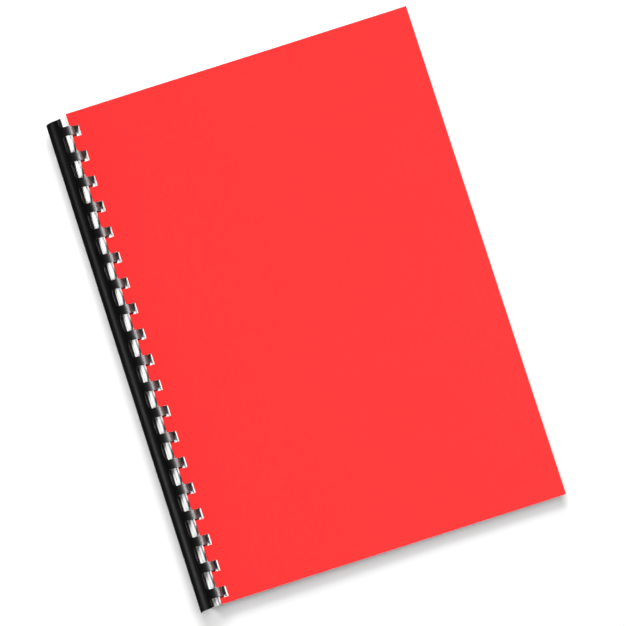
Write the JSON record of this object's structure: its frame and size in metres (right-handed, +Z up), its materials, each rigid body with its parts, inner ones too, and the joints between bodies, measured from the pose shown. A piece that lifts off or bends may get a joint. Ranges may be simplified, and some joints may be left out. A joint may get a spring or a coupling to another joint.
{
  "type": "comb-bound document",
  "caption": "Comb-bound document: plain card covers and loose punched pages held by the curled rings of a plastic comb; covers and pages turn about the comb.",
  "frame": {"origin": "centre of the bounding box's bottom face, on the table the closed document lies on", "axes": "+X from the comb to the fore edge, +Y towards the top of the page, +Z up through the front cover"},
  "size_m": [0.201, 0.2746, 0.0138],
  "materials": {
    "cover_card": "smooth red card with a very fine grain and pale cut edges",
    "back_card": "black card with a fine grain",
    "page_paper": "matt white paper",
    "comb_plastic": "glossy black sheet plastic"
  },
  "bodies": {
    "back_cover": {"back_cover": "back_card"},
    "page_section_01": {"page_section_01": "page_paper"},
    "page_section_02": {"page_section_02": "page_paper"},
    "page_section_03": {"page_section_03": "page_paper"},
    "page_section_04": {"page_section_04": "page_paper"},
    "page_section_05": {"page_section_05": "page_paper"},
    "page_section_06": {"page_section_06": "page_paper"},
    "page_section_07": {"page_section_07": "page_paper"},
    "page_section_08": {"page_section_08": "page_paper"},
    "page_section_09": {"page_section_09": "page_paper"},
    "page_section_10": {"page_section_10": "page_paper"},
    "front_cover": {"front_cover": "cover_card"},
    "comb": {"comb_spine": "comb_plastic", "comb_ring_01": "comb_plastic", "comb_ring_02": "comb_plastic", "comb_ring_03": "comb_plastic", "comb_ring_04": "comb_plastic", "comb_ring_05": "comb_plastic", "comb_ring_06": "comb_plastic", "comb_ring_07": "comb_plastic", "comb_ring_08": "comb_plastic", "comb_ring_09": "comb_plastic", "comb_ring_10": "comb_plastic", "comb_ring_11": "comb_plastic", "comb_ring_12": "comb_plastic", "comb_ring_13": "comb_plastic", "comb_ring_14": "comb_plastic", "comb_ring_15": "comb_plastic", "comb_ring_16": "comb_plastic", "comb_ring_17": "comb_plastic", "comb_ring_18": "comb_plastic", "comb_ring_19": "comb_plastic"}
  },
  "joints": [
    {"name": "front_cover_swing", "type": "hinge", "parent": "back_cover", "child": "front_cover", "pos_m": [-0.09326, 0, 0.00665], "axis": [0, -1, 0], "range_deg": [0, 182]},
    {"name": "comb_roll", "type": "hinge", "parent": "back_cover", "child": "comb", "pos_m": [-0.09326, 0, 0.00665], "axis": [0, -1, 0], "range_deg": [0, 88.1]},
    {"name": "page_section_01_turn", "type": "hinge", "parent": "back_cover", "child": "page_section_01", "pos_m": [-0.09326, 0, 0.00665], "axis": [0, -1, 0], "range_deg": [0, 0.07]},
    {"name": "page_section_02_turn", "type": "hinge", "parent": "back_cover", "child": "page_section_02", "pos_m": [-0.09326, 0, 0.00665], "axis": [0, -1, 0], "range_deg": [0, 0.49]},
    {"name": "page_section_03_turn", "type": "hinge", "parent": "back_cover", "child": "page_section_03", "pos_m": [-0.09326, 0, 0.00665], "axis": [0, -1, 0], "range_deg": [0, 3.58]},
    {"name": "page_section_04_turn", "type": "hinge", "parent": "back_cover", "child": "page_section_04", "pos_m": [-0.09326, 0, 0.00665], "axis": [0, -1, 0], "range_deg": [0, 17.58]},
    {"name": "page_section_05_turn", "type": "hinge", "parent": "back_cover", "child": "page_section_05", "pos_m": [-0.09326, 0, 0.00665], "axis": [0, -1, 0], "range_deg": [0, 59.27]},
    {"name": "page_section_06_turn", "type": "hinge", "parent": "back_cover", "child": "page_section_06", "pos_m": [-0.09326, 0, 0.00665], "axis": [0, -1, 0], "range_deg": [0, 122.83]},
    {"name": "page_section_07_turn", "type": "hinge", "parent": "back_cover", "child": "page_section_07", "pos_m": [-0.09326, 0, 0.00665], "axis": [0, -1, 0], "range_deg": [0, 164.52]},
    {"name": "page_section_08_turn", "type": "hinge", "parent": "back_cover", "child": "page_section_08", "pos_m": [-0.09326, 0, 0.00665], "axis": [0, -1, 0], "range_deg": [0, 178.52]},
    {"name": "page_section_09_turn", "type": "hinge", "parent": "back_cover", "child": "page_section_09", "pos_m": [-0.09326, 0, 0.00665], "axis": [0, -1, 0], "range_deg": [0, 181.61]},
    {"name": "page_section_10_turn", "type": "hinge", "parent": "back_cover", "child": "page_section_10", "pos_m": [-0.09326, 0, 0.00665], "axis": [0, -1, 0], "range_deg": [0, 182.03]}
  ],
  "couplings": [
    {"joint": "comb_roll", "follows": "front_cover_swing", "ratio": 0.4835},
    {"joint": "page_section_01_turn", "follows": "front_cover_swing", "ratio": 0.0001},
    {"joint": "page_section_02_turn", "follows": "front_cover_swing", "ratio": 0.0024},
    {"joint": "page_section_03_turn", "follows": "front_cover_swing", "ratio": 0.0194},
    {"joint": "page_section_04_turn", "follows": "front_cover_swing", "ratio": 0.0963},
    {"joint": "page_section_05_turn", "follows": "front_cover_swing", "ratio": 0.3254},
    {"joint": "page_section_06_turn", "follows": "front_cover_swing", "ratio": 0.6746},
    {"joint": "page_section_07_turn", "follows": "front_cover_swing", "ratio": 0.9037},
    {"joint": "page_section_08_turn", "follows": "front_cover_swing", "ratio": 0.9806},
    {"joint": "page_section_09_turn", "follows": "front_cover_swing", "ratio": 0.9976},
    {"joint": "page_section_10_turn", "follows": "front_cover_swing", "ratio": 0.9999}
  ]
}
